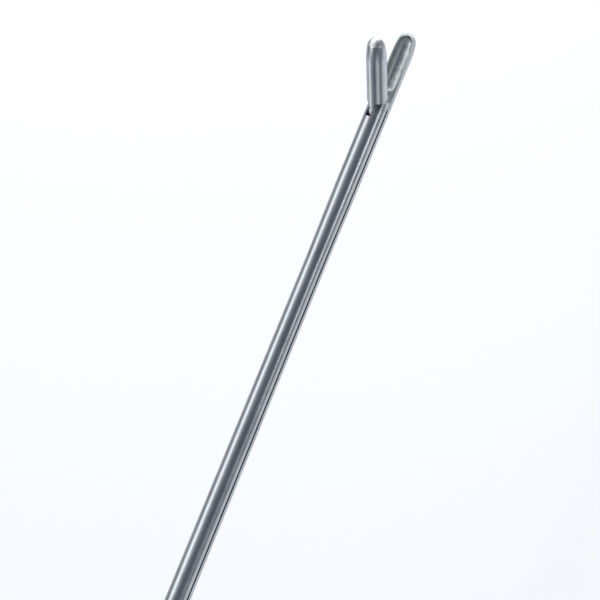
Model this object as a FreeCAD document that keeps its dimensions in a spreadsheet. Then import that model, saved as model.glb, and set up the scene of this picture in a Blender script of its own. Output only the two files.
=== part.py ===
import FreeCAD, Part

import math
import os

import Sketcher

# Sliding-shaft cup biopsy forceps.
# Frame: the origin is the centre of the thumb ring, +X runs along the shaft to the jaws,
# +Y runs along the ring's bore and +Z points up from the rings to the shaft.
# The jaw, the slide and the front handle are drawn closed, in line with the fixed shaft,
# and their placements then open them to the rest pose.

SIZES = {
    # Overall places
    "shaft_height": 58.0,
    "block_rear_x": 24.0,
    "block_length": 28.0,
    "working_length": 190.0,
    # Shaft
    "rear_radius": 2.2,
    "waist_radius": 2.0,
    "head_radius": 2.15,
    "taper_setback": 108.0,
    "waist_setback": 30.0,
    "head_length": 15.0,
    "parting_gap": 0.18,
    # Jaws
    "jaw_reach": 14.0,
    "lower_lead": 0.2,
    "cup_nose_length": 4.1,
    "cup_nose_radius": 1.95,
    "cup_wall": 0.42,
    "lower_floor_start": 2.6,
    "upper_floor_start": 3.2,
    "cup_throat_radius": 1.85,
    "rim_gap": 0.06,
    # Jaw hinge and its drive
    "jaw_opening_angle": 37.0,
    "pivot_depth": 0.86,
    "drive_height": 0.74,
    "pivot_pin_radius": 0.45,
    "drive_pin_radius": 0.4,
    "pin_play": 0.03,
    "lug_width": 1.2,
    "lug_radius": 0.85,
    "lug_side_gap": 0.05,
    "lug_play": 0.1,
    "lug_rear_room": 0.35,
    "tongue_inset": 0.03,
    "tongue_back_x": 1.15,
    "tongue_root": 0.4,
    "fork_side_gap": 0.06,
    "shoulder_x": 1.75,
    "shoulder_rise": 1.0,
    "shoulder_angle": 34.0,
    "fork_reach": 2.22,
    "fork_angle": 36.0,
    "fork_rear": 1.63,
    # Guide keys
    "key_length": 3.0,
    "key_stem_width": 0.9,
    "key_stem_rise": 0.9,
    "key_head_width": 1.8,
    "key_head_depth": 0.7,
    "key_head_height": 0.5,
    "key_play": 0.06,
    "front_key_setback": 12.0,
    "rear_key_setback": 150.0,
    # Rear end of the slide and its link
    "tang_width": 4.4,
    "slide_block_length": 16.0,
    "slide_block_height": 3.6,
    "link_pin_height": 1.4,
    "link_pin_radius": 0.8,
    "link_play": 0.03,
    "link_x": 41.0,
    # Head block of the rear handle
    "block_width": 9.0,
    "block_depth": 11.0,
    "rivet_radius": 0.75,
    "rivet_inset": 3.5,
    "rivet_depth": 1.15,
    "stop_pin_radius": 0.9,
    "stop_gap": 0.17,
    "stop_drop": 4.0,
    "lever_slot_reach": 6.0,
    # Front handle and its hinge
    "lever_drop": 4.6,
    "lever_width": 3.0,
    "lever_side_gap": 0.06,
    "lever_boss_radius": 3.5,
    "lever_neck_width": 3.6,
    "lever_stem_drop": 3.0,
    "shank_overlap": 1.5,
    "block_corner": 4.4,
    "bush_radius": 2.1,
    "bush_play": 0.03,
    "screw_shoulder_radius": 1.5,
    "screw_thread_radius": 1.2,
    "screw_head_radius": 2.9,
    "screw_head_height": 1.3,
    "screw_head_play": 0.05,
    "screw_bevel": 0.3,
    "screw_inset": 0.2,
    "washer_edge_gap": 0.1,
    "washer_thickness": 0.3,
    # Rings and shanks
    "thumb_bore_radius": 11.0,
    "finger_bore_radius": 12.0,
    "ring_wall": 3.8,
    "ring_width": 5.6,
    "ring_lip": 0.6,
    "ring_bevel": 1.2,
    "shank_width": 5.0,
    "shank_depth": 5.6,
    "shank_edge_bevel": 1.1,
    "shank_bow_radius": 140.0,
    "rear_shank_angle": 28.0,
    "rear_foot_angle": 44.0,
    "front_shank_angle": 12.0,
    "front_foot_angle": 113.0,
    "finger_ring_reach": 14.0,
    "finger_ring_drop": 58.0,
    # Leaf springs
    "leaf_width": 4.0,
    "leaf_thickness": 0.7,
    "leaf_root_length": 8.0,
    "leaf_bow_radius": 60.0,
    "leaf_tip_gap": 0.3,
    "leaf_meeting_x": 31.5,
    "leaf_meeting_z": 19.0,
    "leaf_root_rise": 31.0,
    "spring_screw_radius": 1.0,
    "spring_screw_depth": 3.0,
    "spring_screw_head_radius": 1.8,
    "spring_screw_head_height": 1.1,
    "spring_screw_bevel": 0.3,
    "spring_pin_radius": 0.5,
    "spring_pin_depth": 2.0,
    "spring_pin_rise": 2.7,
    "spring_fit": 0.03,
    "driver_slot_width": 0.6,
    "driver_slot_depth": 0.5,
}


class Size:
    """A dimension that carries its number and the sheet formula that gives it."""

    def __init__(self, value, text):
        self.value = float(value)
        self.text = text

    def __add__(self, other):
        other = as_size(other)
        return Size(self.value + other.value, f"({self.text} + {other.text})")

    def __sub__(self, other):
        other = as_size(other)
        return Size(self.value - other.value, f"({self.text} - {other.text})")

    def __mul__(self, other):
        other = as_size(other)
        return Size(self.value * other.value, f"({self.text} * {other.text})")

    def __truediv__(self, other):
        other = as_size(other)
        return Size(self.value / other.value, f"({self.text} / {other.text})")

    def __neg__(self):
        return Size(-self.value, f"(0 - {self.text})")

    __radd__ = __add__
    __rmul__ = __mul__

    def __rsub__(self, other):
        return as_size(other) - self


def as_size(number):
    """Takes a Size as it is and wraps a plain number."""
    if isinstance(number, Size):
        return number
    return Size(number, repr(float(number)))


def sine(angle):
    return Size(math.sin(math.radians(angle.value)), f"sin({angle.text})")


def cosine(angle):
    return Size(math.cos(math.radians(angle.value)), f"cos({angle.text})")


def tangent(angle):
    return Size(math.tan(math.radians(angle.value)), f"tan({angle.text})")


def root(size):
    return Size(math.sqrt(size.value), f"sqrt({size.text})")


doc = FreeCAD.newDocument("biopsy_forceps")
sheet = doc.addObject("Spreadsheet::Sheet", "Sizes")
for row, (alias, number) in enumerate(SIZES.items(), start=1):
    sheet.set(f"A{row}", alias)
    sheet.set(f"B{row}", str(number))
    sheet.setAlias(f"B{row}", alias)
doc.recompute()


class Sheet:
    """Gives each cell of the sheet as a Size under its alias."""

    def __getattr__(self, alias):
        return Size(SIZES[alias], f"Sizes.{alias}")


d = Sheet()


def bind(item, name, size):
    """Ties one property of an object to the sheet."""
    item.setExpression(name, as_size(size).text)


def new_body(label, x=0.0, y=0.0, z=0.0, turn=None):
    """A body with its own label, placed at x, y, z and turned about -Y, tip upwards."""
    body = doc.addObject("PartDesign::Body", label)
    body.Label = label
    if turn is not None:
        body.Placement.Rotation = FreeCAD.Rotation(FreeCAD.Vector(0, -1, 0), 1)
        bind(body, "Placement.Rotation.Angle", turn)
    for axis, place in zip("xyz", (x, y, z)):
        bind(body, f"Placement.Base.{axis}", place)
    return body


def origin_plane(body, role):
    return next(item for item in body.Origin.OriginFeatures if item.Role == role)


class Outline:
    """A sketch on one of the body's own planes, drawn corner by corner."""

    def __init__(self, body, plane, offset=0.0, name="Outline"):
        self.sketch = body.newObject("Sketcher::SketchObject", name)
        self.sketch.AttachmentSupport = [(origin_plane(body, plane), "")]
        self.sketch.MapMode = "FlatFace"
        bind(self.sketch, "AttachmentOffset.Base.z", offset)

    def fix(self, kind, *where, size):
        """Adds a driving dimension and ties it to the sheet."""
        size = as_size(size)
        index = self.sketch.addConstraint(Sketcher.Constraint(kind, *where, size.value))
        self.sketch.setExpression(f"Constraints[{index}]", size.text)

    def loop(self, *corners):
        """Closed outline. A corner is (x, y) after a straight edge, or (x, y, radius, side)
        after an arc whose centre lies on that side of the way to the corner."""
        corners = [tuple(as_size(v) if not isinstance(v, str) else v for v in c) for c in corners]
        edges = []
        for index, corner in enumerate(corners):
            before = corners[index - 1]
            edges.append(self.edge(before, corner))
        for index, (edge, first, last) in enumerate(edges):
            following, start, _ = edges[(index + 1) % len(edges)]
            joint = Sketcher.Constraint("Coincident", edge, last, following, start)
            self.sketch.addConstraint(joint)
            x, y = corners[index][:2]
            self.fix("DistanceX", edge, last, size=x)
            self.fix("DistanceY", edge, last, size=y)
        for (edge, _, _), corner in zip(edges, corners):
            if len(corner) == 4:
                self.fix("Radius", edge, size=corner[2])
        return self

    def edge(self, before, corner):
        """One straight or round edge: its index and its first and last point numbers."""
        start = FreeCAD.Vector(before[0].value, before[1].value, 0)
        end = FreeCAD.Vector(corner[0].value, corner[1].value, 0)
        if len(corner) == 2:
            return self.sketch.addGeometry(Part.LineSegment(start, end)), 1, 2
        radius, side = corner[2].value, corner[3]
        chord = end - start
        rise = math.sqrt(max(radius ** 2 - (chord.Length / 2) ** 2, 0.0))
        left = FreeCAD.Vector(-chord.y, chord.x, 0).normalize()
        centre = (start + end) * 0.5 + left * (rise if side == "left" else -rise)
        first, last = (start, end) if side == "left" else (end, start)
        angles = [math.atan2(p.y - centre.y, p.x - centre.x) for p in (first, last)]
        circle = Part.Circle(centre, FreeCAD.Vector(0, 0, 1), radius)
        arc = self.sketch.addGeometry(Part.ArcOfCircle(circle, *angles))
        return (arc, 1, 2) if side == "left" else (arc, 2, 1)

    def circle(self, x, y, radius):
        x, y, radius = as_size(x), as_size(y), as_size(radius)
        centre = FreeCAD.Vector(x.value, y.value, 0)
        round_edge = Part.Circle(centre, FreeCAD.Vector(0, 0, 1), radius.value)
        circle = self.sketch.addGeometry(round_edge)
        self.fix("DistanceX", circle, 3, size=x)
        self.fix("DistanceY", circle, 3, size=y)
        self.fix("Radius", circle, size=radius)
        return self

    def box(self, x0, x1, y0, y1):
        return self.loop((x0, y0), (x1, y0), (x1, y1), (x0, y1))

    def slot(self, x0, y0, x1, y1, radius):
        """A round-ended slot between two centres."""
        x0, y0, x1, y1, radius = (as_size(v) for v in (x0, y0, x1, y1, radius))
        across, along = x1 - x0, y1 - y0
        length = root(across * across + along * along)
        on_x, on_y = across / length * radius, along / length * radius
        return self.loop(
            (x0 - on_y, y0 + on_x),
            (x0 - on_x, y0 - on_y, radius, "left"),
            (x0 + on_y, y0 - on_x, radius, "left"),
            (x1 + on_y, y1 - on_x),
            (x1 + on_x, y1 + on_y, radius, "left"),
            (x1 - on_y, y1 + on_x, radius, "left"),
        )


def grow(kind, outline, name):
    body = outline.sketch.getParentGeoFeatureGroup()
    feature = body.newObject(f"PartDesign::{kind}", name)
    feature.Profile = outline.sketch
    return feature


def pad(outline, length, name="Pad", both=True, reverse=False):
    feature = grow("Pad", outline, name)
    feature.SideType = "Symmetric" if both else "One side"
    feature.Reversed = reverse
    bind(feature, "Length", length)
    return feature


def pocket(outline, length, name="Pocket", both=True, reverse=False):
    feature = grow("Pocket", outline, name)
    feature.SideType = "Symmetric" if both else "One side"
    feature.Reversed = reverse
    bind(feature, "Length", length)
    return feature


def turn(kind, outline, axis, angle, name, reverse=False):
    """Revolution or Groove about one of the sketch's own axes or its first edge."""
    feature = grow(kind, outline, name)
    feature.ReferenceAxis = (outline.sketch, [axis])
    feature.Angle = angle
    feature.Reversed = reverse
    return feature


def soften(body, radius, wanted, name="Edges", kind="Fillet"):
    """Rounds or bevels those edges of the body's last feature that are wanted."""
    doc.recompute()
    base = body.Tip
    names = [f"Edge{i}" for i, edge in enumerate(base.Shape.Edges, start=1) if wanted(edge)]
    feature = body.newObject(f"PartDesign::{kind}", name)
    feature.Base = (base, names)
    bind(feature, "Radius" if kind == "Fillet" else "Size", radius)
    return feature


def pin(label, x, z, radius, length):
    """A plain cross pin along Y."""
    body = new_body(label, x=x, z=z)
    pad(Outline(body, "XZ_Plane").circle(0.0, 0.0, radius), length)
    return body


def flush_pin(label, x, z, radius):
    """A cross pin along Y, dressed flush with the round of the shaft's head."""
    body = new_body(label, x=x, z=z)
    pad(Outline(body, "XZ_Plane").circle(0.0, 0.0, radius), d.head_radius * 2)
    outside = Outline(body, "YZ_Plane", name="OutsideRod")
    axis_z = d.shaft_height - z
    outside.circle(0.0, axis_z, d.head_radius).circle(0.0, axis_z, d.head_radius * 2)
    pocket(outside, radius * 4, "FlushEnds")
    return body


# Places worked out from the driving sizes
block_front_x = d.block_rear_x + d.block_length
tip_x = block_front_x + d.working_length
jaw_pivot_x = tip_x - d.jaw_reach - d.lower_lead
taper_x = jaw_pivot_x - d.taper_setback
waist_x = jaw_pivot_x - d.waist_setback
head_x = jaw_pivot_x - d.head_length
half_opening = d.jaw_opening_angle / 2
link_reach = d.pivot_depth + d.drive_height
drive_lead = link_reach * tangent(half_opening)
slide_travel = drive_lead * 2
lever_arm = d.lever_drop + d.link_pin_height
lever_swing = slide_travel / lever_arm * (180 / math.pi)
tongue_slot = d.lug_width + d.fork_side_gap * 2
lug_slot = d.lug_width + d.lug_side_gap * 2
lever_passage = d.lever_width + d.lever_side_gap * 2
lever_slot = lever_passage + d.washer_thickness * 2
washer_radius = d.lever_drop - d.rear_radius - d.washer_edge_gap
slot_rear_x = d.link_x - d.lever_slot_reach
stop_x = d.link_x - d.lever_boss_radius - d.stop_pin_radius - d.stop_gap
stop_z = d.shaft_height - d.lever_drop - d.stop_drop


def nose(tip, radius, length, end_radius):
    """Corners of a cup's rounded nose, from its side to its tip on the axis."""
    shoulder = ((length - end_radius) * (length - end_radius) + radius * radius
                - end_radius * end_radius) / (2 * (radius - end_radius))
    share = shoulder / (shoulder - end_radius)
    touch_x = tip - length + (length - end_radius) * share
    touch_y = (radius - shoulder) - (radius - shoulder) * share
    return [(tip - length, radius), (touch_x, touch_y, shoulder, "right"),
            (tip, 0.0, end_radius, "right")]


def cavity(body, start, tip, offset, reverse):
    """The spoon hollow of a cup, a half-round trough with a ball-shaped throat and nose."""
    side = d.head_radius - d.cup_wall
    throat = d.cup_throat_radius
    run = throat - root(throat * throat - side * side)
    corners = [(start, 0.0), (start + run, side, throat, "right")]
    corners += nose(tip - d.cup_wall, side, d.cup_nose_length - d.cup_wall, d.cup_nose_radius - d.cup_wall)
    hollow = Outline(body, "XY_Plane", offset=offset, name="Hollow").loop(*corners)
    return turn("Groove", hollow, "H_Axis", 180, "Cavity", reverse=reverse)


def fixed_shaft():
    """The lower half of the shaft with the fixed cup jaw at its end and a tang at its rear."""
    body = new_body("fixed_shaft", z=d.shaft_height)
    rod = Outline(body, "XY_Plane", name="Rod")
    rod.loop(
        (block_front_x, 0.0),
        (block_front_x, d.rear_radius),
        (taper_x, d.rear_radius),
        (waist_x, d.waist_radius),
        (head_x, d.head_radius),
        *nose(tip_x, d.head_radius, d.cup_nose_length, d.cup_nose_radius),
    )
    turn("Revolution", rod, "H_Axis", 180, "HalfRound", reverse=True)
    cavity(body, jaw_pivot_x + d.lower_floor_start, tip_x, 0.0, True)
    tang = Outline(body, "XZ_Plane", name="Tang")
    tang.box(d.block_rear_x, block_front_x, -d.rear_radius, 0.0)
    pad(tang, d.tang_width, "TangPad")
    window = Outline(body, "XZ_Plane", name="LeverWindow")
    half = d.lever_neck_width
    window.box(d.link_x - half, d.link_x + half, -d.rear_radius - 1, 1.0)
    pocket(window, lever_passage, "LeverWindowCut")
    lug = Outline(body, "XZ_Plane", name="LugSlot")
    rear, front = d.lug_radius + d.lug_rear_room, 2 * d.lug_radius + d.lug_play
    lug.box(jaw_pivot_x - rear, jaw_pivot_x + front, -d.pivot_depth - d.lug_radius - d.lug_play, 1.0)
    pocket(lug, lug_slot, "LugSlotCut")
    hole = Outline(body, "XZ_Plane", name="PivotHole")
    hole.circle(jaw_pivot_x, -d.pivot_depth, d.pivot_pin_radius)
    pocket(hole, d.head_radius * 3, "PivotHoleCut")
    for place, label in ((d.front_key_setback, "Front"), (d.rear_key_setback, "Rear")):
        key_slot(body, jaw_pivot_x - place, label)
    for place in rivet_places():
        hole = Outline(body, "XZ_Plane", name="RivetHole")
        hole.circle(place, -d.rivet_depth, d.rivet_radius)
        pocket(hole, d.tang_width * 2, "RivetHoleCut")
    return body


def rivet_places():
    return (d.block_rear_x + d.rivet_inset, block_front_x - d.rivet_inset)


def key_slot(body, x, label):
    """T-shaped guide slot in the parting face, with a window behind it to let the key in."""
    start = x - slide_travel - d.key_play
    end = x + d.key_length + d.key_play
    top = -d.key_head_depth + d.key_play
    bottom = -d.key_head_depth - d.key_head_height - d.key_play
    stem = Outline(body, "XZ_Plane", name=f"{label}KeyStemSlot").box(start, end, bottom, 0.1)
    pocket(stem, d.key_stem_width + d.key_play * 2, f"{label}KeyStemCut")
    head = Outline(body, "XZ_Plane", name=f"{label}KeyHeadSlot").box(start, end, bottom, top)
    pocket(head, d.key_head_width + d.key_play * 2, f"{label}KeyHeadCut")
    window = Outline(body, "XZ_Plane", name=f"{label}KeyWindow")
    window.box(start - d.key_length - d.key_play, start, bottom, 0.1)
    pocket(window, d.key_head_width + d.key_play * 2, f"{label}KeyWindowCut")


def sliding_shaft():
    """The upper half of the shaft: a forked front end and a block for the lever at the rear."""
    body = new_body("sliding_shaft", x=-slide_travel, z=d.shaft_height)
    rear_x = block_front_x - d.slide_block_length + slide_travel
    front_x = jaw_pivot_x + d.fork_reach
    rod = Outline(body, "XY_Plane", name="Rod")
    rod.loop(
        (rear_x, 0.0),
        (rear_x, d.rear_radius),
        (taper_x, d.rear_radius),
        (waist_x, d.waist_radius),
        (head_x, d.head_radius),
        (front_x, d.head_radius),
        (front_x, 0.0),
    )
    turn("Revolution", rod, "H_Axis", 180, "HalfRound")
    block = Outline(body, "YZ_Plane", offset=rear_x, name="Block")
    half = d.tang_width / 2
    crown = d.slide_block_height - 1.0
    crown_radius = (half * half + 1) / 2
    block.loop((-half, 0.0), (half, 0.0), (half, crown), (-half, crown, crown_radius, "left"))
    pad(block, d.slide_block_length - 2.0, "BlockPad", both=False)
    neck = Outline(body, "XZ_Plane", name="LeverSlot")
    half_length = d.lever_neck_width / 2 + 0.5
    middle = d.link_x + slide_travel / 2
    neck.box(middle - half_length, middle + half_length, -1.0, d.link_pin_height + 1.3)
    pocket(neck, lever_passage, "LeverSlotCut")
    hole = Outline(body, "XZ_Plane", name="LinkHole")
    hole.circle(d.link_x + slide_travel / 2, d.link_pin_height, d.link_pin_radius)
    pocket(hole, d.tang_width * 2, "LinkHoleCut")
    fork = Outline(body, "XZ_Plane", name="Fork")
    rear = jaw_pivot_x - d.fork_rear
    fork.loop(
        (rear + d.lug_radius * 0.75, -1.0),
        (front_x + 1, -1.0),
        (front_x + 1, d.head_radius + 1),
        (rear, d.head_radius + 1),
        (rear, d.head_radius),
        (rear + d.lug_radius * 0.75, d.drive_height * 0.8),
    )
    pocket(fork, tongue_slot, "ForkCut")
    lean = Outline(body, "XZ_Plane", name="ForkLean")
    run = (d.head_radius + 1) * tangent(d.fork_angle)
    lean.loop((front_x, 0.0), (front_x + 1, 0.0), (front_x + 1, d.head_radius + 1),
              (front_x - run, d.head_radius + 1))
    pocket(lean, d.head_radius * 3, "ForkLeanCut")
    hole = Outline(body, "XZ_Plane", name="DriveHole")
    hole.circle(jaw_pivot_x + drive_lead, d.drive_height, d.drive_pin_radius)
    pocket(hole, d.head_radius * 3, "DriveHoleCut")
    for place, label in ((d.front_key_setback, "Front"), (d.rear_key_setback, "Rear")):
        x = jaw_pivot_x - place
        seat = Outline(body, "XZ_Plane", name=f"{label}KeySeat")
        seat.box(x, x + d.key_length, -0.1, d.key_stem_rise)
        pocket(seat, d.key_stem_width, f"{label}KeySeatCut")
    parting = Outline(body, "XZ_Plane", name="PartingFace")
    parting.box(rear_x - 1, front_x + 1, -1.0, d.parting_gap)
    pocket(parting, d.tang_width * 2, "PartingFaceCut")
    return body


def guide_key(label, setback):
    """A T-shaped key, pressed into the slide and running in the fixed shaft."""
    body = new_body(label, x=jaw_pivot_x - setback - slide_travel, z=d.shaft_height)
    stem = Outline(body, "XZ_Plane", name="Stem")
    stem.box(0.0, d.key_length, -d.key_head_depth, d.key_stem_rise)
    pad(stem, d.key_stem_width, "StemPad")
    head = Outline(body, "XZ_Plane", name="Head")
    head.box(0.0, d.key_length, -d.key_head_depth - d.key_head_height, -d.key_head_depth)
    pad(head, d.key_head_width, "HeadPad")
    return body


def upper_jaw():
    """The moving cup with its tongue, its hinge lug and the slot for the drive pin."""
    body = new_body("upper_jaw", x=jaw_pivot_x, z=d.shaft_height - d.pivot_depth, turn=d.jaw_opening_angle)
    rim = d.pivot_depth + d.rim_gap
    cup = Outline(body, "XY_Plane", offset=rim, name="Cup")
    cup.loop(
        (d.shoulder_x, 0.0),
        (d.shoulder_x, d.head_radius),
        *nose(d.jaw_reach, d.head_radius, d.cup_nose_length, d.cup_nose_radius),
    )
    turn("Revolution", cup, "H_Axis", 180, "HalfRound")
    heel = Outline(body, "XZ_Plane", name="Heel")
    run = d.shoulder_rise * tangent(d.shoulder_angle)
    heel.loop((d.shoulder_x, rim), (d.shoulder_x + run, rim), (d.shoulder_x, rim + d.shoulder_rise))
    pocket(heel, d.head_radius * 3, "HeelCut")
    cavity(body, d.upper_floor_start, d.jaw_reach, rim, False)
    half = d.lug_width / 2
    top = d.head_radius - d.tongue_inset
    crown = root(top * top - half * half)
    back_radius = rim + top - link_reach
    rear_x = d.tongue_back_x - back_radius
    tongue = Outline(body, "YZ_Plane", offset=rear_x, name="Tongue")
    tongue.loop((-half, rim), (half, rim), (half, rim + crown), (-half, rim + crown, top, "left"))
    pad(tongue, d.upper_floor_start - d.tongue_root - rear_x, "TonguePad", both=False)
    back = Outline(body, "XZ_Plane", name="TongueBack")
    back.loop(
        (rear_x, link_reach),
        (d.tongue_back_x, link_reach + back_radius, back_radius, "right"),
        (d.tongue_back_x, link_reach + back_radius + 1),
        (rear_x - 1, link_reach + back_radius + 1),
        (rear_x - 1, link_reach),
    )
    pocket(back, d.lug_width * 2, "TongueBackCut")
    lug = Outline(body, "XZ_Plane", name="Lug")
    lug.loop(
        (-d.lug_radius, 0.0),
        (0.0, -d.lug_radius, d.lug_radius, "left"),
        (d.lug_radius, 0.0, d.lug_radius, "left"),
        (d.lug_radius * 1.8, rim),
        (d.lug_radius * 1.8, link_reach),
        (rear_x, link_reach),
    )
    pad(lug, d.lug_width, "LugPad")
    hole = Outline(body, "XZ_Plane", name="PivotHole")
    hole.circle(0.0, 0.0, d.pivot_pin_radius + d.pin_play)
    pocket(hole, d.lug_width * 2, "PivotHoleCut")
    slot = Outline(body, "XZ_Plane", name="DriveSlot")
    near_x, near_z = link_reach * sine(half_opening), link_reach * cosine(half_opening)
    slot.slot(near_x, near_z, link_reach * tangent(half_opening), link_reach, d.drive_pin_radius + d.pin_play)
    pocket(slot, d.lug_width * 2, "DriveSlotCut")
    return body


def ring(body, x, z, bore):
    """A finger ring about an axis along Y: a plain bore with eased lips and a bevelled rim."""
    outer = bore + d.ring_wall
    half = d.ring_width / 2
    lip, bevel = d.ring_lip, d.ring_bevel
    section = Outline(body, "XY_Plane", name="RingSection")
    section.loop(
        (bore, lip - half),
        (bore + lip, -half),
        (outer - bevel, -half),
        (outer, bevel - half),
        (outer, half - bevel),
        (outer - bevel, half),
        (bore + lip, half),
        (bore, half - lip),
    )
    bind(section.sketch, "AttachmentOffset.Base.x", x)
    bind(section.sketch, "AttachmentOffset.Base.z", z)
    return turn("Revolution", section, "V_Axis", 360, "Ring")


def foot_point(ring_x, ring_z, bore, bearing):
    """A point inside a ring's wall, at a bearing in degrees from +X towards +Z."""
    reach = bore + d.ring_wall / 2
    return ring_x + reach * cosine(bearing), ring_z + reach * sine(bearing)


def long_side_edge(half_width, least):
    """Picks the edges of a bar's two side faces that are longer than the least length."""
    def wanted(edge):
        centre = edge.BoundBox.Center
        on_side = abs(abs(centre.y) - half_width.value) < 0.01 and edge.BoundBox.YLength < 0.01
        return on_side and edge.Length > least.value
    return wanted


def bevel_shank(body):
    """Bevels the four long edges of a shank that has just been padded."""
    wanted = long_side_edge(d.shank_width / 2, d.shank_depth * 2)
    soften(body, d.shank_edge_bevel, wanted, name="ShankEdges", kind="Chamfer")


def rear_handle():
    """The fixed handle: the head block, its shank and the thumb ring."""
    body = new_body("rear_handle")
    low = d.shaft_height - d.block_depth
    corner = d.block_corner
    foot_x, foot_z = foot_point(0.0, 0.0, d.thumb_bore_radius, d.rear_foot_angle)
    rise = low + corner - foot_z
    top_x = foot_x + rise * tangent(d.rear_shank_angle)
    shank = Outline(body, "XZ_Plane", name="Shank")
    back = d.shank_depth / cosine(d.rear_shank_angle)
    shank.loop(
        (foot_x, foot_z),
        (top_x, low + corner),
        (top_x - back * 1.1, low + corner),
        (foot_x - back, foot_z + d.shank_depth * 0.4, d.shank_bow_radius, "left"),
    )
    pad(shank, d.shank_width, "ShankPad")
    bevel_shank(body)
    block = Outline(body, "XZ_Plane", name="Block")
    block.loop(
        (d.block_rear_x, d.shaft_height),
        (d.block_rear_x, low + corner),
        (d.block_rear_x + corner, low, corner, "left"),
        (block_front_x - corner, low),
        (block_front_x, low + corner, corner, "left"),
        (block_front_x, d.shaft_height),
    )
    pad(block, d.block_width, "BlockPad")
    ring(body, 0.0, 0.0, d.thumb_bore_radius)
    slot = Outline(body, "XZ_Plane", name="LeverSlot")
    slot.box(slot_rear_x, block_front_x + 1, low - 1, d.shaft_height + 1)
    pocket(slot, lever_slot, "LeverSlotCut")
    channel = Outline(body, "XZ_Plane", name="TangChannel")
    channel.box(d.block_rear_x - 1, block_front_x + 1, d.shaft_height - d.rear_radius, d.shaft_height + 1)
    pocket(channel, d.tang_width, "TangChannelCut")
    for place in rivet_places():
        hole = Outline(body, "XZ_Plane", name="RivetHole")
        hole.circle(place, d.shaft_height - d.rivet_depth, d.rivet_radius)
        pocket(hole, d.block_width * 2, "RivetHoleCut")
    stop = Outline(body, "XZ_Plane", name="StopHole").circle(stop_x, stop_z, d.stop_pin_radius)
    pocket(stop, d.block_width * 2, "StopHoleCut")
    hinge_z = d.shaft_height - d.lever_drop
    side = d.block_width / 2
    seat = Outline(body, "XZ_Plane", offset=side, name="ScrewHeadSeat")
    seat.circle(d.link_x, hinge_z, d.screw_head_radius + d.screw_head_play)
    pocket(seat, d.screw_head_height, "ScrewHeadSeatCut", both=False)
    shoulder = Outline(body, "XZ_Plane", offset=side, name="ShoulderHole")
    shoulder.circle(d.link_x, hinge_z, d.screw_shoulder_radius)
    pocket(shoulder, side + lever_slot / 2, "ShoulderHoleCut", both=False)
    thread = Outline(body, "XZ_Plane", offset=0.0, name="ThreadHole")
    thread.circle(d.link_x, hinge_z, d.screw_thread_radius)
    pocket(thread, side + 1, "ThreadHoleCut", both=False)
    leaf_holes(body, rear_leaf_root, -d.rear_shank_angle)
    return body


def front_handle():
    """The lever: a fork for the link pin, a hinge boss, a shank and the finger ring."""
    body = lever_piece("front_handle")
    neck = d.lever_neck_width / 2
    boss = d.lever_boss_radius
    shoulder = root(boss * boss - neck * neck)
    stem_low = d.lever_drop - d.block_depth - d.lever_stem_drop
    stem = d.shank_depth / 2
    top = lever_arm + d.link_pin_radius
    ring_x, ring_z = d.finger_ring_reach, -d.finger_ring_drop
    foot_x, foot_z = foot_point(ring_x, ring_z, d.finger_bore_radius, d.front_foot_angle)
    shank_top = stem_low + d.shank_overlap
    rise = shank_top - foot_z
    top_x = foot_x - rise * tangent(d.front_shank_angle)
    across = d.shank_depth / cosine(d.front_shank_angle)
    shank = Outline(body, "XZ_Plane", name="Shank")
    shank.loop(
        (foot_x, foot_z),
        (foot_x + across, foot_z + d.shank_depth * 0.12),
        (top_x + across * 1.1, shank_top, d.shank_bow_radius, "left"),
        (top_x, shank_top),
    )
    pad(shank, d.shank_width, "ShankPad")
    bevel_shank(body)
    ring(body, ring_x, ring_z, d.finger_bore_radius)
    head = Outline(body, "XZ_Plane", name="Head")
    head.loop(
        (-neck, top),
        (-neck, shoulder),
        (-boss, 0.0, boss, "left"),
        (-stem, stem_low),
        (stem, stem_low),
        (boss, 0.0),
        (neck, shoulder, boss, "left"),
        (neck, top),
    )
    pad(head, d.lever_width, "HeadPad")
    notch = Outline(body, "XZ_Plane", name="LinkNotch")
    notch.slot(0.0, lever_arm, 0.0, lever_arm + 3, d.link_pin_radius + d.link_play)
    pocket(notch, d.lever_width * 2, "LinkNotchCut")
    hole = Outline(body, "XZ_Plane", name="BushHole").circle(0.0, 0.0, d.bush_radius)
    pocket(hole, d.lever_width * 2, "BushHoleCut")
    leaf_holes(body, front_leaf_root, 180 + d.front_shank_angle)
    return body


def lever_piece(label):
    """A body drawn about the lever's hinge, half-way along its swing, then opened."""
    return new_body(label, x=d.link_x, z=d.shaft_height - d.lever_drop, turn=lever_swing / 2)


def lever_bush():
    body = lever_piece("lever_bush")
    wall = Outline(body, "XZ_Plane", name="Wall")
    wall.circle(0.0, 0.0, d.bush_radius).circle(0.0, 0.0, d.screw_shoulder_radius + d.bush_play)
    pad(wall, d.lever_width, "WallPad")
    return body


def pivot_washers():
    """The two thin washers between the lever and the cheeks of the head block."""
    body = new_body("pivot_washers", x=d.link_x, z=d.shaft_height - d.lever_drop)
    body.AllowCompound = True
    inner = d.lever_width / 2 + d.lever_side_gap / 2
    for label, offset in (("Near", inner + d.washer_thickness), ("Far", -inner)):
        face = Outline(body, "XZ_Plane", offset=offset, name=label)
        face.circle(0.0, 0.0, washer_radius).circle(0.0, 0.0, d.screw_shoulder_radius + d.bush_play)
        pad(face, d.washer_thickness, f"{label}Pad", both=False, reverse=True)
    return body


def turned_screw(label, x, z, lean, steps, slot_at, slot_half):
    """A slotted screw drawn along its own +X axis, head outermost, and turned to its lean."""
    body = new_body(label, x=x, z=z, turn=lean)
    profile = Outline(body, "XY_Plane", name="Profile").loop(*steps)
    turn("Revolution", profile, "H_Axis", 360, "Turned")
    slot = Outline(body, "XZ_Plane", name="DriverSlot")
    half = d.driver_slot_width / 2
    slot.box(slot_at - d.driver_slot_depth, slot_at + 1, -half, half)
    pocket(slot, slot_half * 3, "DriverSlotCut")
    return body


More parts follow.
